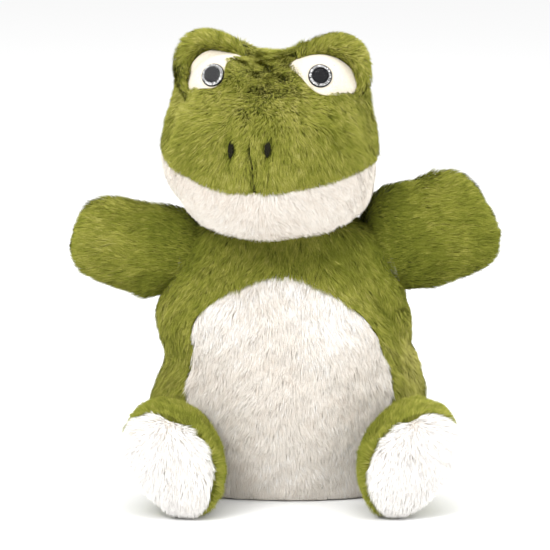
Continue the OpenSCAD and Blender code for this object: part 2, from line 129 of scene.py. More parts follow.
# An arm grows from its pivot along +Z, with its half width along X and its depth along Y
ARM_ROWS = {
    LEFT: np.array([
        [15, 13, 13, -15.5, 0, 0, -3],
        [19, 15.5, 15.5, -11, 0, 0, -4],
        [22, 16.5, 16.5, -4.5, 0, 0, -4],
        [24.3, 16, 16, 3, 0, 0, -2.2],
        [24.8, 15, 15, 11, 0, 0, -0.8],
        [23.8, 14, 14, 21, 0, 0, -0.8],
        [22.8, 13.5, 13.5, 32, 0, 0, -1.2],
        [20.3, 12.5, 12.5, 42, 0, 0, -1.4],
        [14.5, 9.5, 9.5, 49, 0, 0, -1.2],
        [6, 4.5, 4.5, 52, 0, 0, 0],
        [1, 1, 1, 52.5, 0, 0, 0],
    ]),
    RIGHT: np.array([
        [15, 13, 13, -15.5, 0, 0, -4],
        [21, 15.5, 15.5, -11, 0, 0, -7],
        [26, 16.5, 16.5, -4.5, 0, 0, -8.5],
        [28.5, 16.5, 16.5, 3, 0, 0, -8.5],
        [29, 16, 16, 10, 0, 0, -7.8],
        [28.4, 15.5, 15.5, 20, 0, 0, -6.6],
        [28.5, 14.5, 14.5, 31, 0, 0, -6.9],
        [26.2, 13, 13, 41, 0, 0, -5.9],
        [19.5, 10, 10, 48, 0, 0, -4],
        [8.5, 4.5, 4.5, 51.6, 0, 0, -1.5],
        [1, 1, 1, 52.2, 0, 0, -0.5],
    ]),
}
ARM_TOP = len(ARM_ROWS[LEFT]) - 1.02
# Painted shade on each arm, most on the right one, which lies away from the key light
ARM_PAINTED_SHADE = {LEFT: 0.3, RIGHT: 1.0}  # how much darker than the body's pile

# A foot grows from its seam along +Z. Its depths are down to the floor and up.
FOOT_ROWS = np.array([
    [8, 8, 10, -3, 0, 0, 0],
    [17, 18, 22, 3, 0, 0, 0],
    [22, 24, 26.5, 13, 0, 0, 0],
    [24, 26, 28, 26, 0, 0, 0],
    [24.5, 26.9, 26, 39, 0, 0, 0],
    [24, 26.5, 26, 48, 0, 0, 0],
    [21, 23, 23, 54.5, 0, 0, 0],
    [13, 15, 15, 58.3, 0, 0, 0],
    [1.2, 1.2, 1.2, 59.5, 0, 0, 0],
])
FOOT_TOP = len(FOOT_ROWS) - 1.02
SOLE_ROW = 5.2

# The belly panel's edge: height, then the angles from the front to its left and right edge
BELLY_EDGE = np.array([
    [-1, 37, 37], [12, 44, 44], [30, 48, 48], [50, 49, 48], [67, 53, 49], [81, 48, 48],
    [92, 44, 41], [103, 33, 29], [110.5, 22, 17], [115, 11, 9], [117, 1, 1],
])

# The eye patches and the brows, as angles from the head's front and rows of the head
EYE_EDGES = {
    LEFT: np.array([[24, 11.6], [42, 11.5], [54, 10.7], [62, 9.6], [59, 8.7], [41, 8.95],
                    [26, 9.3], [21, 10.3]]),
    RIGHT: np.array([[18, 10.9], [33, 11.3], [54, 10.5], [68, 9.8], [78, 9.2], [77, 8.6],
                     [53, 8.65], [38, 8.95], [24, 10]]),
}
# angle, row, radius of the roll
BROWS = {
    LEFT: np.array([[53, 8.45, 1.3], [61, 9.1, 2.6], [66, 9.65, 3.3], [66.5, 10.2, 3.8],
                    [63, 10.7, 4.4], [56, 11.15, 4.2], [42, 11.45, 3.2], [24, 11.6, 1.5]]),
    RIGHT: np.array([[76, 8.4, 1.4], [79, 9.1, 3], [75, 9.75, 4.2], [68, 10.3, 5.2],
                     [58, 10.7, 5.2], [43, 11.0, 3.8], [25, 11.1, 1.7]]),
}
# millimetres to a degree and to a row of the head, near the nostrils and near the eyes
MUZZLE_SCALE = (1.07, 12)
EYE_SCALE = (0.75, 8.5)
# angles from the front and rows of the mouth's seam
MOUTH = ((-90, -75, -44, -23, -10, 10, 26, 53, 85),
         (6.2, 6.1, 5.75, 5.4, 5.26, 5.26, 5.36, 5.55, 5.75))
# angle and row of each nostril, and of the nose crease's two ends
NOSTRILS = ((-10.2, 6.70), (9.7, 6.74))
CREASE = ((1.0, 6.5), (3.2, 5.3))

# ---- Numbers ----


def unit(vectors):
    return vectors / np.maximum(np.linalg.norm(vectors, axis=-1, keepdims=True), 1e-9)


def smoothstep(x, start, end):
    t = np.clip((x - start) / (end - start), 0, 1)
    return t * t * (3 - 2 * t)


def plateau(x, start, full, fade, end):
    """Rises from 0 to 1 between start and full, and falls back between fade and end."""
    return smoothstep(x, start, full) * (1 - smoothstep(x, fade, end))


def bell(x, middle, width):
    return np.exp(-((x - middle) / width) ** 2)


def row_at(rows, v):
    """A smooth curve through the rows of a table, at fractional rows v."""
    last = len(rows) - 1
    i = np.clip(np.floor(v).astype(int), 0, last - 1)
    t = (v - i)[..., None]
    a, b = rows[np.maximum(i - 1, 0)], rows[i]
    c, d = rows[i + 1], rows[np.minimum(i + 2, last)]
    return 0.5 * (2 * b + (c - a) * t + (2 * a - 5 * b + 4 * c - d) * t ** 2
                  + (3 * b - a - 3 * c + d) * t ** 3)


def loft(rows, u, v):
    """Points of a loft at angles u, in degrees about +Z from +X, and rows v."""
    half_width, front, back, height, drop, side_rise, shift = np.moveaxis(row_at(rows, v), -1, 0)
    c, s = np.cos(np.radians(u)), np.sin(np.radians(u))
    y = np.where(s < 0, front, back) * s
    return np.stack([shift + half_width * c, y, height - drop * s + side_rise * c * c], -1)


def waves(points, wavelength, seed, count=7):
    """Smooth noise between about -1 and 1 at some points."""
    random = np.random.default_rng(seed)
    directions = unit(random.normal(size=(count, 3))) * 2 * math.pi / wavelength
    directions *= random.uniform(0.6, 1.6, (count, 1))
    phases = random.uniform(0, 2 * math.pi, count)
    return np.sin(points @ directions.T + phases).sum(-1) / math.sqrt(count)


def turn(axis, degrees):
    return np.array(Matrix.Rotation(math.radians(degrees), 3, axis))


# ---- Skins ----


class Skin:
    """A grid of points on a panel, with its normals and the way its pile lies."""

    def __init__(self, points, wrap=False):
        self.points = points
        self.wrap = wrap
        self.length = np.ones(points.shape[:2])
        self.pile = np.ones(points.shape[:2])
        self.lift = np.zeros(points.shape[:2])
        # painted light and shade, in steps of the pile's tones
        self.shade = np.zeros(points.shape[:2])
        self.keep = np.ones(points.shape[:2])
        self.nap = None
        self.refresh()

    def refresh(self):
        across = np.gradient(self.points, axis=1)
        if self.wrap:
            across[:, 0] = across[:, -1] = self.points[:, 1] - self.points[:, -2]
        up = np.gradient(self.points, axis=0)
        self.normals = unit(np.cross(across, up))

    def push(self, distance):
        """Moves every point outwards along its normal."""
        self.points = self.points + self.normals * distance[..., None]
        self.refresh()

    def place(self, rotation, offset):
        self.points = self.points @ rotation.T + offset
        self.refresh()
        if self.nap is not None:
            self.nap = self.nap @ rotation.T

    def mirror(self):
        """Reflects the skin in X, and turns its grid over so that it still faces outwards."""
        for name in ("points", "nap", "length", "pile", "lift", "shade", "keep"):
            setattr(self, name, getattr(self, name)[:, ::-1])
        self.points = self.points * [-1, 1, 1]
        self.nap = self.nap * [-1, 1, 1]
        self.refresh()

    def turn_over(self):
        self.points = self.points[:, ::-1]
        self.refresh()

    def comb(self, directions):
        """Lays the pile along some directions, which are flattened onto the surface."""
        flat = directions - (directions * self.normals).sum(-1, keepdims=True) * self.normals
        self.nap = unit(flat)


def loft_skin(rows, patch, columns, steps, depth, wrap=False):
    """A skin at a depth below a loft. A patch gives angles and rows at shares of its two sides."""
    s, t = np.meshgrid(np.linspace(0, 1, columns // COARSER + 1),
                       np.linspace(0, 1, steps // COARSER + 1))
    u, v = patch(s, t)
    du, dv = 0.5, 0.01
    across = loft(rows, u + du, v) - loft(rows, u - du, v)
    up = loft(rows, u, v + dv) - loft(rows, u, v - dv)
    points = loft(rows, u, v) - unit(np.cross(across, up)) * depth
    skin = Skin(points, wrap)
    skin.u, skin.v = u, v
    return skin


# ---- Materials ----

GREENS = [(0.150, 0.168, 0.020), (0.215, 0.226, 0.031), (0.290, 0.292, 0.050),
          (0.375, 0.360, 0.080), (0.480, 0.450, 0.130)]
CREAMS = [(0.66, 0.58, 0.49), (0.74, 0.67, 0.59), (0.81, 0.76, 0.69), (0.92, 0.90, 0.87)]
# roots darker than tips: painted shade deep in the pile
ROOT_DARKNESS = {"green": 0.62, "cream": 0.92}


def set_inputs(node, **values):
    """Sets inputs of a shader node, with underlines for the spaces in their names."""
    for name, value in values.items():
        node.inputs[name.replace("_", " ")].default_value = value


def new_material(name):
    material = bpy.data.materials.new(name)
    material.use_nodes = True
    return material, material.node_tree, material.node_tree.nodes["Principled BSDF"]


def pile_materials(family, colors):
    """Root and tip materials for each shade of a pile, the roots darker as painted shade deep in the pile."""
    made = []
    for i, color in enumerate(colors):
        for part, factor in (("root", ROOT_DARKNESS[family]), ("tip", 1.0)):
            material, _, shader = new_material(f"{family}_pile_{part}_{i + 1}")
            set_inputs(shader, Base_Color=(*[c * factor for c in color], 1), Roughness=0.8,
                       Specular_IOR_Level=0.06)
            made.append(material)
    return made


def texture(tree, kind, scale):
    """A texture node that follows the object's own space."""
    place = tree.nodes.new("ShaderNodeTexCoord")
    node = tree.nodes.new(f"ShaderNodeTex{kind}")
    set_inputs(node, Scale=scale)
    tree.links.new(place.outputs["Object"], node.inputs["Vector"])
    return node


def color_surface(tree, shader, source, dark, light, roughness, specular, positions=(0, 1)):
    """Colours a surface from dark to light by an output of a texture."""
    ramp = tree.nodes.new("ShaderNodeValToRGB")
    for element, color, position in zip(ramp.color_ramp.elements, (dark, light), positions):
        element.color = (*color, 1)
        element.position = position
    tree.links.new(source, ramp.inputs["Fac"])
    tree.links.new(ramp.outputs["Color"], shader.inputs["Base Color"])
    set_inputs(shader, Roughness=roughness, Specular_IOR_Level=specular)


def add_relief(tree, shader, source, strength, distance):
    bump = tree.nodes.new("ShaderNodeBump")
    set_inputs(bump, Strength=strength, Distance=distance)
    tree.links.new(source, bump.inputs["Height"])
    tree.links.new(bump.outputs["Normal"], shader.inputs["Normal"])


def cloth_material(name, dark, light, scale=900, bump=0.3, roughness=0.9, sheen=0.3):
    """A felted cloth with a fine colour variation and a bump."""
    material, tree, shader = new_material(name)
    fine = texture(tree, "Noise", scale)
    set_inputs(fine, Detail=4)
    color_surface(tree, shader, fine.outputs["Fac"], dark, light, roughness, 0.1, (0.35, 0.68))
    add_relief(tree, shader, fine.outputs["Fac"], bump, 0.0004)
    set_inputs(shader, Sheen_Weight=sheen)
    return material


def weave_material(name, dark, light, pitch=0.0011):
    """A plain weave: two crossing sets of threads."""
    material, tree, shader = new_material(name)
    both = tree.nodes.new("ShaderNodeMath")
    both.operation = "MULTIPLY"
    for number, direction in enumerate(("X", "Z")):
        wave = texture(tree, "Wave", 1 / pitch / 6)
        wave.bands_direction = direction
        set_inputs(wave, Distortion=0.6)
        tree.links.new(wave.outputs["Fac"], both.inputs[number])
    color_surface(tree, shader, both.outputs["Value"], dark, light, 0.85, 0.5)
    add_relief(tree, shader, both.outputs["Value"], 0.4, 0.0003)
    return material


def plastic_material(name, color, roughness, mottled=0.04):
    material, tree, shader = new_material(name)
    noise = texture(tree, "Noise", 400)
    dark = [max(0, c - mottled) for c in color]
    light = [min(1, c + mottled) for c in color]
    color_surface(tree, shader, noise.outputs["Fac"], dark, light, roughness, 0.1)
    return material


def glitter_material():
    """Silver flakes on black: each cell has its own brightness, which paints the glints of flakes that catch the
    light.
    """
    material, tree, shader = new_material("glitter_iris")
    flakes = texture(tree, "Voronoi", 2200)
    color_surface(tree, shader, flakes.outputs["Color"], (0.03, 0.028, 0.025), (0.85, 0.85, 0.86),
                  0.4, 0.2, (0.3, 0.9))
    return material


GLOSS_SHARE = 0.004  # of the light that the clear plastic reflects


def clear_material():
    """A thin clear skin that shows what is behind it, with a faint reflection."""
    material, tree, shader = new_material("clear_plastic")
    nodes, links = tree.nodes, tree.links
    nodes.remove(shader)
    mixed = nodes.new("ShaderNodeMixShader")
    set_inputs(mixed, Fac=GLOSS_SHARE)
    clear = nodes.new("ShaderNodeBsdfTransparent")
    gloss = nodes.new("ShaderNodeBsdfAnisotropic")
    set_inputs(gloss, Roughness=0.06)
    links.new(clear.outputs["BSDF"], mixed.inputs[1])
    links.new(gloss.outputs["BSDF"], mixed.inputs[2])
    links.new(mixed.outputs["Shader"], nodes["Material Output"].inputs["Surface"])
    return material


GREEN_PILE = pile_materials("green", GREENS)
CREAM_PILE = pile_materials("cream", CREAMS)
# The green backing is far darker than the pile: painted shade in the gaps between strands
GREEN_CLOTH = cloth_material("green_backing", (0.045, 0.05, 0.006), (0.10, 0.11, 0.016))
CREAM_CLOTH = cloth_material("cream_backing", (0.62, 0.55, 0.46), (0.80, 0.74, 0.66))
VELVET = cloth_material("eye_velvet", (0.60, 0.53, 0.42), (0.72, 0.67, 0.57), 1500, 0.5, 0.8,
                        sheen=0.2)
THREAD = cloth_material("dark_thread", (0.004, 0.004, 0.002), (0.018, 0.017, 0.008), 2500, 0.6,
                        0.8, sheen=0.0)
LINING = weave_material("lining_cloth", (0.16, 0.155, 0.09), (0.30, 0.29, 0.17))
LABEL = weave_material("label_cloth", (0.70, 0.70, 0.68), (0.88, 0.88, 0.86), 0.0006)
FILL = cloth_material("fibre_fill", (0.72, 0.72, 0.70), (0.92, 0.92, 0.91), 300, 0.8)
BLACK = plastic_material("black_plastic", (0.006, 0.006, 0.007), 0.5, 0.003)
WHITE = plastic_material("white_plastic", (0.8, 0.8, 0.78), 0.4)
CLEAR = clear_material()
GLITTER = glitter_material()

# ---- Meshes ----


def show(piece, body, nodes=()):
    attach(piece, body)
    if nodes:
        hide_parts(*nodes)
    return piece


def add_object(name, data):
    made = bpy.data.objects.new(name, data)
    bpy.context.scene.collection.objects.link(made)
    return made


def mesh_object(name, vertices, faces, materials):
    mesh = bpy.data.meshes.new(name)
    mesh.from_pydata([tuple(p) for p in np.asarray(vertices) * MM], [], [tuple(f) for f in faces])
    for material in materials:
        mesh.materials.append(material)
    mesh.shade_smooth()
    mesh.update()
    return add_object(name, mesh)


def skin_faces(skin, corner_kept=lambda corner: True):
    """The quads of a skin's grid, as numbers of its points row by row."""
    rows, columns = skin.points.shape[:2]
    across = columns - 1 if skin.wrap else columns
    faces = []
    for j in range(rows - 1):
        for i in range(columns - 1):
            corners = ((j, i), (j, i + 1), (j + 1, i + 1), (j + 1, i))
            if all(corner_kept(corner) for corner in corners):
                faces.append([c[0] * across + c[1] % across for c in corners])
    return faces, across


def cloth_piece(name, skin, material, body, nodes=(), depth=0.0, thickness=0.5):
    """A panel's cloth, with a thickness, at a depth below the skin."""
    faces, across = skin_faces(skin, lambda corner: skin.keep[corner] > 0.5)
    vertices = (skin.points - depth * skin.normals)[:, :across].reshape(-1, 3)
    used = sorted({i for face in faces for i in face})
    number = {old: new for new, old in enumerate(used)}
    piece = mesh_object(name, vertices[used], [[number[i] for i in f] for f in faces], [material])
    solid = piece.modifiers.new("thickness", "SOLIDIFY")
    solid.thickness = thickness * MM
    solid.offset = -1
    return show(piece, body, nodes)


def resample(values, rows, columns):
    """A grid of vectors stretched to another number of rows and columns."""
    for axis, count in ((0, rows), (1, columns)):
        old = np.linspace(0, 1, values.shape[axis])
        new = np.linspace(0, 1, count)
        values = np.moveaxis(values, axis, 0)
        low = np.clip(np.searchsorted(old, new, "right") - 1, 0, len(old) - 2)
        share = ((new - old[low]) / (old[low + 1] - old[low]))[:, None, None]
        values = np.moveaxis(values[low] * (1 - share) + values[low + 1] * share, 0, axis)
    return values


def inflate(skin, cap=1.4, pressure=4.0, frames=12, cells=30):
    """Fills a panel out by cloth simulation on a coarse copy, with its seams held and no point
    moved further than the cap."""
    rows, columns = skin.points.shape[:2]
    coarse = Skin(resample(skin.points, min(cells, rows), min(cells, columns) + 1), skin.wrap)
    faces, across = skin_faces(coarse)
    points = coarse.points[:, :across].reshape(-1, 3)
    piece = mesh_object("filling", points, faces, [])
    last = len(coarse.points) - 1
    held = [j * across + i for j in range(last + 1) for i in range(across)
            if j in (0, last) or (not skin.wrap and i in (0, across - 1))]
    seam = piece.vertex_groups.new(name="seam")
    seam.add(held, 1.0, "REPLACE")
    cloth = piece.modifiers.new("cloth", "CLOTH")
    cloth.settings.use_pressure = True
    cloth.settings.uniform_pressure_force = pressure
    cloth.settings.vertex_group_mass = "seam"
    cloth.settings.effector_weights.gravity = 0
    scene = bpy.context.scene
    for number in range(1, frames + 1):
        scene.frame_set(number)
    filled = piece.evaluated_get(bpy.context.evaluated_depsgraph_get())
    moved = np.empty(len(points) * 3)
    filled.data.vertices.foreach_get("co", moved)
    shift = moved.reshape(-1, 3) / MM - points
    size = np.linalg.norm(shift, axis=1, keepdims=True)
    shift *= np.minimum(1, cap / np.maximum(size, 1e-6))
    shift = shift.reshape(last + 1, across, 3)
    if skin.wrap:
        shift = np.concatenate([shift, shift[:, :1]], 1)
    skin.points = skin.points + resample(shift, rows, columns)
    skin.refresh()
    bpy.data.objects.remove(piece)
    scene.frame_set(1)


PLUSH = {"green": (GREEN_PILE, GREEN_CLOTH), "cream": (CREAM_PILE, CREAM_CLOTH)}


class Pile:
    """How the pile of one plush cloth looks and lies."""

    def __init__(self, family, density, length, **more):
        self.materials, self.cloth = PLUSH[family]
        self.slot = f"{family}_plush"
        self.density = density  # strands on a square millimetre
        self.length = length
        self.lift = 30  # degrees from the cloth
        self.width = 0.25  # of a strand
        self.clump = 1.05  # width of a clump
        self.gather = 0.3  # how far its tips come together
        self.grain = 1.0  # how much strands differ in shade
        self.stray = 0.07  # how far a tip strays, as a share of its strand's length
        self.base = 1.9  # middle shade
        self.mottle = 0.35  # how much the shade differs from place to place
        self.__dict__.update(more)


def grow_pile(name, skin, pile, body, seed):
    """Strands of three triangles on a skin, shaded mostly like the surface that they cover."""
    random = np.random.default_rng(seed)
    p = skin.points
    diagonals = np.cross(p[1:, 1:] - p[:-1, :-1], p[1:, :-1] - p[:-1, 1:])
    area = 0.5 * np.linalg.norm(diagonals, axis=-1)
    weight = area * skin.keep[:-1, :-1] * skin.pile[:-1, :-1]
    thin, widen = ((1.0, 1.0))
    count = int(weight.sum() * pile.density * thin)
    cells = random.choice(weight.size, size=count, p=(weight / weight.sum()).ravel())
    j, i = np.divmod(cells, weight.shape[1])
    a, b = random.random(count), random.random(count)

    def sample(values):
        shares = [(1 - a) * (1 - b), a * (1 - b), a * b, (1 - a) * b]
        corners = [values[j, i], values[j, i + 1], values[j + 1, i + 1], values[j + 1, i]]
        if values.ndim == 3:
            shares = [share[:, None] for share in shares]
        return sum(share * corner for share, corner in zip(shares, corners))

    def column(values):
        return values[:, None]

    root = sample(p)
    normal = unit(sample(skin.normals))
    nap = unit(sample(skin.nap))
    side = np.cross(normal, nap)
    swirl = (0.22 * waves(root, 30, seed + 1) + 0.20 * waves(root, 10, seed + 2)
             + 0.12 * random.normal(size=count))
    nap = nap * column(np.cos(swirl)) + side * column(np.sin(swirl))
    reach = pile.length * sample(skin.length) * (1 + 0.07 * waves(root, 14, seed + 3)
                                                 + 0.08 * random.normal(size=count))
    rise = np.radians(pile.lift + sample(skin.lift) + 7 * waves(root, 11, seed + 4)
                      + 4 * random.normal(size=count))
    reach = column(reach)
    tip = root + reach * (nap * column(np.cos(rise)) + normal * column(np.sin(rise)))
    tip += pile.stray * reach * random.normal(size=(count, 3))

    # gather the tips towards the middle of their clump
    clumps = max(1, int(weight.sum() / pile.clump ** 2))
    chosen = random.choice(count, size=min(clumps, count), replace=False)
    tree = kdtree.KDTree(len(chosen))
    for k, place in enumerate(root[chosen]):
        tree.insert(place, k)
    tree.balance()
    nearest = chosen[np.array([tree.find(place)[1] for place in root])]
    pull = column(pile.gather * (0.6 + 0.8 * random.random(count)))
    tip += pull * (tip[nearest] - tip)

    steep = rise + math.radians(STRAND_BEND)
    middle = root + 0.5 * reach * (nap * column(np.cos(steep)) + normal * column(np.sin(steep)))
    middle = 0.5 * middle + 0.5 * (root + tip) / 2
    for points in (middle, tip):
        points[:, 2] = np.maximum(points[:, 2], FLOOR_GAP + 0.15 * random.random(count))

    along = unit(tip - root)
    flat = unit(np.cross(normal, along))
    roll = random.normal(size=count) * 0.45
    across = flat * column(np.cos(roll)) + np.cross(along, flat) * column(np.sin(roll))
    across *= column(0.5 * widen * pile.width * (0.75 + 0.5 * random.random(count)))
    under = root - normal * ROOT_DEPTH
    vertices = np.stack([under + across, under - across, middle - MIDDLE_WIDTH * across,
                         middle + MIDDLE_WIDTH * across, tip], 1)
    facing = unit(normal - column((normal * along).sum(1)) * along)
    lit = unit(normal * 0.75 + facing * 0.35 + 0.10 * random.normal(size=(count, 3)))
    normals = np.stack([normal, normal, lit, lit, lit], 1)

    # the tone adds the skin's painted light and shade to the random mottle and grain
    tone = pile.base + sample(skin.shade) + pile.mottle * (waves(root, 34, seed + 5)
                                                           + 0.8 * waves(root, 6, seed + 6))
    tone += pile.grain * (0.65 * random.normal(size=count)
                          + 0.5 * random.normal(size=count)[nearest])
    shades = len(pile.materials) // 2
    tone = np.clip(np.round(tone), 0, shades - 1).astype(int)

    parts = math.ceil(count / MOST_STRANDS)
    for part in range(parts):
        chosen = slice(part, None, parts)
        label = f"{name}_{part + 1}" if parts > 1 else name
        show(strand_mesh(label, vertices[chosen], normals[chosen], tone[chosen], pile.materials),
             body)


def strand_mesh(name, vertices, normals, tone, materials):
    """One mesh of strands, each a quad and a pointed triangle over it."""
    count = len(vertices)
    mesh = bpy.data.meshes.new(name)
    mesh.vertices.add(count * 5)
    mesh.vertices.foreach_set("co", (vertices * MM).ravel())
    start = np.arange(count)[:, None] * 5
    mesh.loops.add(count * 7)
    mesh.loops.foreach_set("vertex_index", (start + [0, 1, 2, 3, 3, 2, 4]).ravel())
    mesh.polygons.add(count * 2)
    mesh.polygons.foreach_set("loop_start", (np.arange(count)[:, None] * 7 + [0, 4]).ravel())
    for material in materials:
        mesh.materials.append(material)
    mesh.polygons.foreach_set("material_index", np.stack([tone * 2, tone * 2 + 1], 1).ravel())
    mesh.update(calc_edges=True)
    shading = mesh.attributes.new("custom_normal", "FLOAT_VECTOR", "POINT")
    shading.data.foreach_set("vector", normals.ravel())
    mesh.update()
    return add_object(name, mesh)


def threads(name, paths, radii, body, nodes):
    """Round threads along some paths, in the thread's cloth."""
    sides = 6
    vertices, faces = [], []
    for path, radius in zip(paths, radii):
        path = np.asarray(path)
        along = unit(np.gradient(path, axis=0))
        first = unit(np.cross(along, [0.13, 0.2, 0.97]))
        second = np.cross(along, first)
        start = len(vertices)
        last = len(path) - 1
        for k in range(last + 1):
            swell = radius * (0.35 if k in (0, last) else 1)
            for q in np.arange(sides) * 2 * math.pi / sides:
                spoke = math.cos(q) * first[k] + math.sin(q) * second[k]
                vertices.append(path[k] + swell * spoke)
        for k in range(last):
            for i in range(sides):
                n = (i + 1) % sides
                a, b = start + k * sides, start + (k + 1) * sides
                faces.append([a + i, a + n, b + n, b + i])
        faces.append([start + i for i in reversed(range(sides))])
        faces.append([start + last * sides + i for i in range(sides)])
    piece = mesh_object(name, vertices, faces, [THREAD])
    return show(piece, body, nodes)


FLOOR_GAP = 0.4  # the lowest place that a strand may reach
ROOT_DEPTH = 0.3  # from the cloth down to where a strand starts
STRAND_BEND = 24  # degrees that a strand's lower half is steeper than its whole
MIDDLE_WIDTH = 0.85  # of a strand halfway up, as a share of its width at the root
MOST_STRANDS = 60000  # in one piece
SKIN_DEPTH = 2.9  # from the pile's outline down to the cloth
HEAD_DEPTH = 4.0  # the same on the head
LINING_DEPTH = 1.4  # from the cloth down to its lining
FILLING_DEPTH = 1.2  # from the cloth down to the filling behind it
FILLING_TOP = 10.5  # the row of the head where the filling ends
ARMHOLE = 15  # radius of the hole in the body round a shoulder
EYE_SEAT = 1.5  # from a pupil down to the patch that the eye sits on
FACE_SEAT = 3.5  # from a pupil down to the face's cloth round it
SEAT_REACH = (6.5, 19)  # distances from an eye between which the raised cloth falls off
PATCH_HEIGHT = 1.5 - HEAD_DEPTH  # of an eye patch's middle over the head's outline
PATCH_TOP = 11.6  # the highest row of the head that an eye patch reaches
BROW_DEPTH = 3.4  # from the head's outline down to about a brow's underside
BROW_END_DEPTH = 2.2  # how much deeper its two ends are sunk
PUPIL_GROWTH = 0.2  # how much wider the pupil's disc is than the cut one
GREEN = Pile("green", 6.5, 6.4)
FACE = Pile("green", 7.0, 5.8, lift=34)
CREAM = Pile("cream", 6.0, 5.6, lift=25, base=1.9, mottle=0.2, gather=0.18, stray=0.05,
             grain=0.4)
CHIN = Pile("cream", 6.5, 4.4, lift=25, base=1.7, mottle=0.2, gather=0.15, stray=0.04,
            grain=0.4)
# The soles take the lightest tone: painted light on their forward faces
SOLE = Pile("cream", 6.0, 5.2, lift=30, base=3.0, mottle=0.1, gather=0.2, clump=1.5, grain=0.3)
# The feet's pile is a tone darker than the body's: painted shade
FOOT = Pile("green", 6.5, 5.8, lift=34, base=1.2)
BROW = Pile("green", 7.5, 4.4, lift=34)


def down_and_out(skin, outwards, back=0.0, spread=30):
    """Directions down the skin that fan out from its middle line."""
    lie = np.zeros_like(skin.points)
    lie[..., 2] = -1
    lie[..., 0] = outwards * np.tanh(skin.points[..., 0] / spread)
    lie[..., 1] = back
    return lie


# ---- Body ----


def row_of_height(z):
    rise = BODY_ROWS[:, 3]
    return np.interp(z, rise, np.arange(len(rise)))


def belly_walk(climb, side):
    """Angle from the front and row of the belly's edge, from the hem up to its top."""
    place = row_at(BELLY_EDGE, climb * (len(BELLY_EDGE) - 1))
    angle = np.where(side < 0, place[..., 1], place[..., 2])
    return angle, row_of_height(place[..., 0])


def front_place(s, t):
    """Places on the green front: t runs from the side seam and neck to the belly's edge."""
    side = np.where(s < 0.5, -1, 1)
    climb = 1 - np.abs(2 * s - 1)
    neck_share = 0.16
    up = climb / (1 - neck_share)
    neck_turn = np.where(up > 1, (up - 1) * (1 - neck_share) / neck_share, 0)
    outer_u, outer_v = 90 * (1 - neck_turn), BODY_TOP * np.minimum(1, up)
    inner_u, inner_v = belly_walk(climb, side)
    return -90 + side * (outer_u * (1 - t) + inner_u * t), outer_v * (1 - t) + inner_v * t


def belly_place(s, t):
    left, row = belly_walk(t, np.full_like(s, -1))
    right, _ = belly_walk(t, np.full_like(s, 1))
    return -90 - left + s * (left + right), row


def shape_body(skin):
    """Folds, hollows and armholes of the body, and the way its pile lies."""
    x, y, z = np.moveaxis(skin.points, -1, 0)
    front = smoothstep(-y, 0, 8)
    valley = x - np.interp(z, [50, 74, 91, 112], [58, 55, 49.5, 40])
    span = plateau(z, 54, 70, 104, 116) * front
    fold = (bell(valley, 0, 3.6) - 0.7 * bell(valley, 7, 4)) * span
    tuck = bell(z, 97, 3) * smoothstep(x, 46, 54) * front
    band = z - np.interp(x, [-30, 45], [84, 42])
    hollow = bell(band, 0, 8) * plateau(x, -34, -14, 36, 48) * front
    left_fold = bell(z - 0.25 * (x + 60), 72, 5) * smoothstep(-x, 48, 60) * front
    skin.push(-2.6 * fold - 1.6 * tuck - 1.7 * hollow - 1.2 * left_fold
              + 0.5 * waves(skin.points, 48, 3))
    # painted shade in the fold, the tuck and the hollow
    skin.shade -= 1.0 * np.clip(fold, 0, 1) + 0.6 * tuck + 0.35 * hollow
    # painted light on the right flank, low on the front
    skin.shade += 1.4 * smoothstep(x, 48, 58) * (1 - smoothstep(z, 78, 96)) * front
    skin.comb(down_and_out(skin, 0.4, -0.15))
    skin.place(np.eye(3), HEM_MIDDLE)
    for pivot in SHOULDERS.values():
        distance = np.linalg.norm(skin.points - pivot, axis=-1)
        skin.keep *= distance > ARMHOLE
        # painted shade round the armhole
        skin.shade -= 1.1 * (1 - smoothstep(distance, 19, 27))
        skin.length *= 0.55 + 0.45 * smoothstep(distance, 18, 27)
    hem = smoothstep(skin.points[..., 2], 1, 9)
    skin.length *= 0.5 + 0.5 * hem
    skin.lift -= 8 * (1 - hem)


def body_skin(place, columns, steps, depth=SKIN_DEPTH):
    skin = loft_skin(BODY_ROWS, place, columns, steps, depth)
    inflate(skin, cap=1.2)
    shape_body(skin)
    return skin


def make_body():
    front = body_skin(lambda s, t: front_place(1 - s, t), 220, 36)
    belly = body_skin(belly_place, 90, 90, SKIN_DEPTH - 0.3)
    back = body_skin(lambda s, t: (s * 180, t * BODY_TOP), 120, 100)
    for skin in (front, back):
        # painted shadow high on the body, under the head
        skin.shade -= 0.9 * smoothstep(skin.points[..., 2], 104, 126)
    # painted light on the upper belly
    belly.shade += 0.5 * smoothstep(belly.points[..., 2], 60, 100)
    for name, skin, node, pile, seed in (
        ("body_front", front, "body_front", GREEN, 11),
        ("belly", belly, "belly_panel", CREAM, 12),
        ("body_back", back, "body_back", GREEN, 13),
    ):
        cloth_piece(name + "_cloth", skin, pile.cloth, "torso", [node])
        grow_pile(name + "_pile", skin, pile, "torso", seed)
    for name, start in (("lining_front", -180), ("lining_back", 0)):
        skin = loft_skin(BODY_ROWS, lambda s, t: (start + 180 * s, 0.1 + t * (BODY_TOP - 3)), 80,
                         60, SKIN_DEPTH)
        shape_body(skin)
        cloth_piece(name + "_cloth", skin, LINING, "torso", [name], LINING_DEPTH)


# ---- Head ----

HEAD_TURN = turn("Z", -HEAD_YAW)


def mouth_row(u):
    """The row of the head where the mouth's seam runs, at angles u."""
    return np.interp(u + 90, *MOUTH)


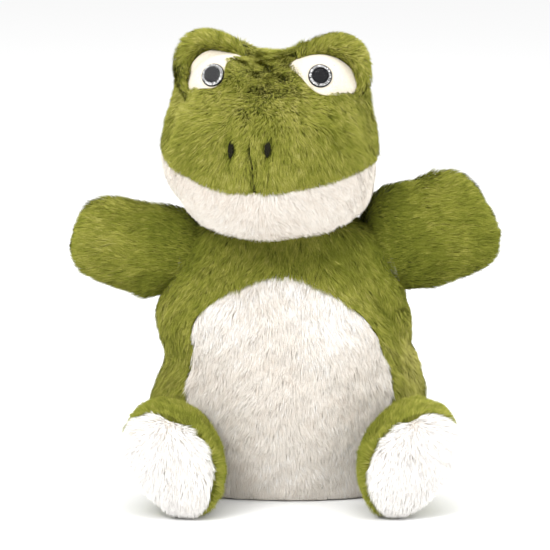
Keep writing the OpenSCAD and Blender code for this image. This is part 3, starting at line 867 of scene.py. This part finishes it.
def inside(outline, a, v):
    """Which places (a, v) lie inside a closed outline, by counting the edges to one side."""
    crossed = np.zeros(a.shape, bool)
    for (a0, v0), (a1, v1) in zip(outline, np.roll(outline, -1, axis=0)):
        meets = (v0 > v) != (v1 > v)
        at = a0 + (v - v0) / np.where(v1 == v0, 1e-9, v1 - v0) * (a1 - a0)
        crossed ^= meets & (a < at)
    return crossed


def smooth_closed(points, count):
    """A smooth closed curve through some points."""
    points = np.asarray(points, float)
    rows = np.concatenate([points[-1:], points, points[:2]])
    return row_at(rows, 1 + np.linspace(0, len(points), count, endpoint=False))


def head_surface(angle, row, height=0.0):
    """Points at a height over the head's outline, with the outward directions there."""
    u, v = np.asarray(angle, float) - 90, np.asarray(row, float)
    across = loft(HEAD_ROWS, u + 0.5, v) - loft(HEAD_ROWS, u - 0.5, v)
    up = loft(HEAD_ROWS, u, v + 0.01) - loft(HEAD_ROWS, u, v - 0.01)
    normal = unit(np.cross(across, up))
    place = loft(HEAD_ROWS, u, v) + normal * np.asarray(height)[..., None]
    return place @ HEAD_TURN.T + NECK, normal @ HEAD_TURN.T


def shape_face(skin):
    """Nose crease, nostrils, eye hollows and the way the pile lies, before the head is put in its
    place."""
    angle, v = skin.u + 90, skin.v
    x, y, z = np.moveaxis(skin.points, -1, 0)
    crease_angle = np.interp(v, [CREASE[1][1], CREASE[0][1]], [CREASE[1][0], CREASE[0][0]])
    crease = bell(angle, crease_angle, 1.9) * plateau(v, 5.1, 5.5, 6.3, 6.8)
    skin.push(-2.2 * crease + 0.5 * waves(skin.points, 40, 5))
    # painted shade in the nose crease
    skin.shade -= 1.6 * crease
    skin.length *= 1 - 0.5 * crease
    skin.length *= 0.55 + 0.45 * smoothstep(v - mouth_row(skin.u), 0, 0.5)
    skin.pile *= 1 - 0.75 * crease
    for place_angle, place_row in NOSTRILS:
        aside = (angle - place_angle) * MUZZLE_SCALE[0]
        distance = np.hypot(aside, (v - place_row) * MUZZLE_SCALE[1])
        tall = np.hypot(aside, (v - place_row) * 7)  # the same in an upright oval
        skin.pile *= 1 - 0.96 * (1 - smoothstep(tall, 1.6, 2.6))
        skin.length *= 0.5 + 0.5 * smoothstep(distance, 1.8, 6)
        # painted shade round each nostril's recess
        skin.shade -= 1.5 * (1 - smoothstep(tall, 1.6, 5))
    stand = smoothstep(z, 48, 66) * smoothstep(-y, 4, 16)
    lie = down_and_out(skin, 0.36, 0.1, 22)
    lie[..., 0] += stand * (0.25 * np.tanh(x / 20) + 0.25 * waves(skin.points, 12, 7))
    lie[..., 2] += stand * (0.35 + 0.2 * waves(skin.points, 12, 8))
    skin.comb(lie)
    skin.length *= 1 - 0.25 * stand
    skin.lift += 6 * stand
    # painted light where the pile stands up, to lift the shade in its gaps
    skin.shade += 0.3 * stand
    # painted shade down the right side of the face
    skin.shade -= 0.45 * plateau(angle, 20, 50, 65, 80)
    for side, edge in EYE_EDGES.items():
        outline = smooth_closed(edge, 40)
        a = side * angle
        covered = inside(outline, a, v)
        distance = np.min(np.hypot((a[..., None] - outline[:, 0]) * EYE_SCALE[0],
                                   (v[..., None] - outline[:, 1]) * EYE_SCALE[1]), -1)
        skin.pile *= np.where(covered & (distance > 0.4), 0.0, 1.0)
        skin.length *= 0.55 + 0.45 * smoothstep(np.where(covered, 0, distance), 0.5, 7)
        skin.push(-1.0 * covered * smoothstep(distance, 0.3, 2))


def pupil_place(name):
    """The points of a pupil's disc, with its middle and the eye's outward axis."""
    node = frame["nodes"][f"eye_pupil_{name}"]
    points = np.array([node.matrix_world @ vertex.co for vertex in node.data.vertices]) / MM
    middle = (points.min(0) + points.max(0)) / 2
    axis = np.linalg.svd(points - middle, full_matrices=False)[2][2]
    return points, middle, -axis if axis[1] > 0 else axis


def seat_eye(points, name, depth):
    """Raises the cloth round an eye to a depth below its pupil, less and less further out."""
    _, eye, axis = pupil_place(name)
    gap = (eye - depth * axis - points) @ axis
    off_axis = np.linalg.norm(points - eye + (gap + depth)[..., None] * axis, axis=-1)
    rise = np.maximum(gap, 0) * (1 - smoothstep(off_axis, *SEAT_REACH))
    return points + rise[..., None] * axis


def make_head():
    # how far the chin reaches round behind the side seams, in degrees
    left_wrap, right_wrap = 9, 16

    def face(start):
        def place(s, t):
            u = start + 90 * s
            low = mouth_row(u)
            return u, low + t * (HEAD_TOP - low)
        return place

    def chin(s, t):
        u = -180 - left_wrap + (180 + left_wrap + right_wrap) * s
        return u, 0.1 + t * (mouth_row(u) - 0.1)

    def back(s, t):
        v = 0.1 + t * (HEAD_TOP - 0.1)
        low = 1 - smoothstep(v, 5.9, 6.3)
        return low * right_wrap + (180 - low * (left_wrap + right_wrap)) * s, v

    for name, node, place, columns, steps, pile, seed in (
        ("head_left", "head_left", face(-180), 110, 110, FACE, 21),
        ("head_right", "head_right", face(-90), 110, 110, FACE, 22),
        ("head_back", "head_back", back, 120, 110, GREEN, 23),
        ("chin", "chin_panel", chin, 140, 60, CHIN, 24),
    ):
        skin = loft_skin(HEAD_ROWS, place, columns, steps, HEAD_DEPTH)
        inflate(skin, cap=1.3)
        eye = name.removeprefix("head_") if pile is FACE else None
        if eye:
            shape_face(skin)
        else:
            skin.comb(down_and_out(skin, 0.9, 0.2, 22))
        skin.place(HEAD_TURN, NECK)
        if eye:
            skin.points = seat_eye(skin.points, eye, FACE_SEAT)
            skin.refresh()
        piece = cloth_piece(name + "_cloth", skin, pile.cloth, "head", [node])
        grow_pile(name + "_pile", skin, pile, "head", seed)
        filling_nodes = ["head_stuffing"] if name == "head_back" else []
        skin.keep *= skin.v < FILLING_TOP
        cloth_piece(name + "_filling", skin, FILL, "head", filling_nodes,
                    FILLING_DEPTH)


def make_eye_patch(name, side):
    """The velvet patch round an eye, as rings about its middle, with its rim tucked in."""
    outline = smooth_closed(EYE_EDGES[side], 72)
    outline = np.concatenate([outline, outline[:1]])
    middle = outline[:-1].mean(0)
    grow = np.linspace(0.02, 1.12, 26)[:, None, None]
    place = middle + grow * (outline - middle)
    place[..., 1] = np.minimum(place[..., 1], PATCH_TOP)
    edge_tuck = 2.0 * smoothstep(grow[..., 0], 0.8, 1.1)
    height = np.broadcast_to(PATCH_HEIGHT - edge_tuck, place.shape[:2])
    points, _ = head_surface(side * place[..., 0], place[..., 1], height)
    points = seat_eye(points, name, EYE_SEAT)
    skin = Skin(points if side < 0 else points[:, ::-1], wrap=True)
    if skin.normals[..., 1].mean() > 0:
        skin.turn_over()
    cloth_piece(f"eye_patch_{name}", skin, VELVET, "head", [f"eye_white_{name}"],
                thickness=0.8)


def make_brow(name, side):
    """A furry roll that hoods an eye patch."""
    line = row_at(BROWS[side], np.linspace(0, len(BROWS[side]) - 1, 90 // COARSER + 1))
    radius = line[:, 2]
    share = np.linspace(0, 1, len(line))
    sunk = BROW_DEPTH + BROW_END_DEPTH * (1 - smoothstep(np.minimum(share, 1 - share), 0, 0.12))
    center, normal = head_surface(side * line[:, 0], line[:, 1], 0.8 * radius - sunk)
    along = unit(np.gradient(center, axis=0))
    first = unit(np.cross(along, normal))
    second = np.cross(first, along)
    q = np.radians(np.linspace(0, 360, 48 // COARSER + 1))
    points = center[:, None] + radius[:, None, None] * (
        first[:, None] * np.cos(q)[:, None] + second[:, None] * np.sin(q)[:, None])
    skin = Skin(points, wrap=True)
    outward = skin.points - center[:, None]
    if (skin.normals * outward).sum() < 0:
        skin.turn_over()
        outward = skin.points - center[:, None]
    towards = np.repeat(-along[:, None], points.shape[1], 1)
    skin.comb(towards + 0.5 * np.array([0, 0.3, 1.0]))
    under = smoothstep(-(unit(outward) @ unit(np.array([0, -0.3, 1.0]))), -0.1, 0.6)
    skin.length *= 1 - 0.5 * under
    # painted shade on the roll's underside
    skin.shade -= 0.9 * under
    piece = cloth_piece(f"brow_{name}_cloth", skin, BROW.cloth, "head",
                        [f"brow_{name}"])
    grow_pile(f"brow_{name}_pile", skin, BROW, "head", 30 + side)


def make_pupil(name):
    """The pupil's disc, wider than the cut one so that it fills most of the eye."""
    node = frame["nodes"][f"eye_pupil_{name}"]
    points, middle, axis = pupil_place(name)
    offset = points - middle
    flat = offset - (offset @ axis)[:, None] * axis
    faces = [list(face.vertices) for face in node.data.polygons]
    piece = mesh_object(f"eye_pupil_disc_{name}", points + PUPIL_GROWTH * flat, faces, [BLACK])
    show(piece, "head", [f"eye_pupil_{name}"])


def make_face_stitches():
    """Nostrils in upright satin stitches, the nose crease's seam and the mouth's seam."""
    half_height, half_width, steps = 0.30, 1.25, 9  # rows, degrees, points of a stitch
    for name, (angle, row) in zip(("left", "right"), NOSTRILS):
        paths, radii = [], []
        for shift in np.linspace(-1, 1, 6):
            half = half_height * math.sqrt(1 - 0.75 * shift * shift)
            rows = np.linspace(row - half, row + half, steps)
            height = -HEAD_DEPTH + 1.2 + 0.5 * np.cos(np.linspace(-1.4, 1.4, steps))
            angles = np.full(steps, angle + half_width * shift)
            paths.append(head_surface(angles, rows, height)[0])
            radii.append(0.36)
        threads(f"nostril_{name}_stitches", paths, radii, "head", [f"nostril_{name}"])
    rows = np.linspace(CREASE[1][1], CREASE[0][1], 30)
    angles = np.linspace(CREASE[1][0], CREASE[0][0], 30)
    path = head_surface(angles, rows, np.full(30, -HEAD_DEPTH - 0.6))[0]
    threads("nose_seam", [path], [0.7], "head", ["nose_stitch"])
    u = np.linspace(-176, -4, 120)
    path = head_surface(u + 90, mouth_row(u), np.full(120, -HEAD_DEPTH + 0.1))[0]
    threads("mouth_seam", [path], [0.4], "head", ["mouth_stitch"])


# ---- Arms and feet ----


def make_arm(name, side):
    body = f"arm_{name}"
    for number, (half, start) in enumerate((("front", -180), ("back", 0))):
        skin = loft_skin(ARM_ROWS[side], lambda s, t: (start + 180 * s, t * ARM_TOP), 64, 90,
                         SKIN_DEPTH)
        inflate(skin, cap=1.2)
        outwards = np.zeros_like(skin.points)
        outwards[..., 2] = 1
        outwards[..., 0] = 0.22
        skin.comb(outwards)
        z = skin.points[..., 2]
        # painted shade near the shoulder, and each arm's own painted shade
        skin.shade -= 1.2 * (1 - smoothstep(z, 0, 17)) + ARM_PAINTED_SHADE[side]
        skin.length *= 0.6 + 0.4 * smoothstep(z, -2, 10)
        skin.place(turn("Y", 90 - ARM_SLOPES[side]), np.zeros(3))
        if side == LEFT:
            skin.mirror()
            x, _, z = np.moveaxis(skin.points, -1, 0)
            pocket = bell(z, 19, 5) * plateau(-x, 4, 14, 26, 38) * (half == "front")
            dimple = bell(x, -12, 4) * bell(z, -11, 5) * (half == "front")
            skin.push(-1.6 * pocket - 1.8 * dimple)
            # painted shade in the pocket and the dimple
            skin.shade -= 0.9 * pocket + 1.0 * dimple
        skin.place(np.eye(3), SHOULDERS[side])
        cloth_piece(f"{body}_{half}_cloth", skin, GREEN.cloth, body,
                    [f"{body}_{half}"])
        grow_pile(f"{body}_{half}_pile", skin, GREEN, body, 40 + 3 * side + number)
        skin.keep *= np.abs(skin.points[..., 0] - SHOULDERS[side][0]) > 2
        lining_nodes = [f"{body}_lining"] if half == "front" else []
        cloth_piece(f"{body}_{half}_lining", skin, LINING, body, lining_nodes,
                    LINING_DEPTH)


def lean_foot(points, side):
    """Makes a foot wider at its top, leans it outwards there, and sets its heel further out."""
    top_growth, lean, shift, heel_shift = 0.18, 0.34, 1.5, 9
    points[..., 0] *= 1 + top_growth * points[..., 1] / 26
    points[..., 0] += side * (lean * points[..., 1] + shift)
    points[..., 0] += side * heel_shift * (1 - smoothstep(points[..., 2], 0, 50))
    return points


def make_foot(name, side):
    rotation = turn("Z", side * TOE_OUT) @ turn("X", 90)
    body = f"foot_{name}"
    parts = (("upper", 0, SOLE_ROW, FOOT), ("sole", SOLE_ROW, FOOT_TOP, SOLE))
    for part, low, high, pile in parts:
        skin = loft_skin(FOOT_ROWS, lambda s, t: (360 * s, low + t * (high - low)), 120, 60,
                         SKIN_DEPTH, wrap=True)
        inflate(skin, cap=1.4)
        skin.points = lean_foot(skin.points, side)
        skin.refresh()
        if part == "upper":
            lie = skin.points * [0.03, 0.03, 0]
            lie[..., 0] += side * 0.7
            lie[..., 2] = -0.7
            # painted shade at the rear of the foot, where it meets the body
            skin.shade -= 0.9 * (1 - smoothstep(skin.points[..., 2], 2, 16))
        else:
            lie = skin.points * [1, 1, 0]
            lie[..., 1] -= 26
        skin.comb(lie)
        skin.place(rotation, FOOT_SEAMS[side])
        piece = cloth_piece(f"{body}_{part}_cloth", skin, pile.cloth, body,
                            [f"{body}_{part}"])
        grow_pile(f"{body}_{part}_pile", skin, pile, body, 60 + 3 * side + (part == "sole"))
        filling_nodes = [f"{body}_filling"] if part == "upper" else []
        cloth_piece(f"{body}_{part}_filling", skin, FILL, body, filling_nodes,
                    FILLING_DEPTH)


# ---- CAD nodes that stay ----

SLOT_LOOKS = {
    "green_plush": GREEN_CLOTH, "cream_plush": CREAM_CLOTH, "lining_cloth": LINING,
    "dark_thread": THREAD, "fibre_fill": FILL, "eye_velvet": VELVET, "clear_plastic": CLEAR,
    "glitter_iris": GLITTER, "black_plastic": BLACK, "white_plastic": WHITE, "label_cloth": LABEL,
}


def dress_nodes():
    slots = {row["node"]: row["material_slot"] for row in frame["record"]["subparts"]}
    for node, piece in frame["nodes"].items():
        for slot in piece.material_slots:
            slot.material = SLOT_LOOKS[slots[node]]


# ---- Studio ----


def make_studio():
    scene = bpy.context.scene
    bpy.ops.mesh.primitive_plane_add(size=6, location=(0, 0, 0))
    floor = bpy.context.object
    floor.name = "studio_floor"
    material, _, shader = new_material("studio_white")
    set_inputs(shader, Base_Color=(0.89, 0.89, 0.89, 1), Roughness=1, Specular_IOR_Level=0)
    floor.data.materials.append(material)
    world = bpy.data.worlds.new("studio_world")
    world.use_nodes = True
    set_inputs(world.node_tree.nodes["Background"], Color=(1, 1, 1, 1), Strength=1.0)
    scene.world = world
    aim_at = Vector((0, 0, 0.12))
    for name, place, size, power in (
        ("key", (-0.9, -1.1, 1.2), 0.9, 22),
        ("fill", (1.1, -1.0, 0.7), 1.0, 9),
        ("top", (0.1, 0.1, 1.6), 1.4, 12),
        ("rim", (1.0, 0.7, 0.8), 0.7, 7),
    ):
        light = bpy.data.lights.new(name, "AREA")
        light.size = size
        light.energy = power
        lamp = add_object(name, light)
        lamp.location = place
        lamp.rotation_euler = (aim_at - Vector(place)).to_track_quat("-Z", "Y").to_euler()
    scene.view_settings.view_transform = "Standard"


CAMERA_DISTANCE = 2.4
CAMERA_ELEVATION = 8.3
FRAME_WIDTH = 0.2805  # how much the picture spans at the puppet
SENSOR_WIDTH = 36
VIEW_SHIFT = -8.2  # from the hem's middle to the picture's middle, in millimetres
VIEW_HEIGHT = 0.1108  # of the picture's middle


def make_camera():
    camera = bpy.data.cameras.new("camera")
    camera.sensor_width = SENSOR_WIDTH
    camera.lens = SENSOR_WIDTH * CAMERA_DISTANCE / FRAME_WIDTH
    target = Vector(((HEM_MIDDLE[0] + VIEW_SHIFT) * MM, HEM_MIDDLE[1] * MM, VIEW_HEIGHT))
    tilt = math.radians(CAMERA_ELEVATION)
    holder = add_object("camera", camera)
    holder.location = target + Vector((0, -math.cos(tilt), math.sin(tilt))) * CAMERA_DISTANCE
    holder.rotation_euler = (target - holder.location).to_track_quat("-Z", "Y").to_euler()
    bpy.context.scene.camera = holder


make_camera()
make_studio()
dress_nodes()
make_body()
make_head()
make_face_stitches()
for side_name, side_sign in SIDES.items():
    make_eye_patch(side_name, side_sign)
    make_pupil(side_name)
    make_brow(side_name, side_sign)
    make_arm(side_name, side_sign)
    make_foot(side_name, side_sign)
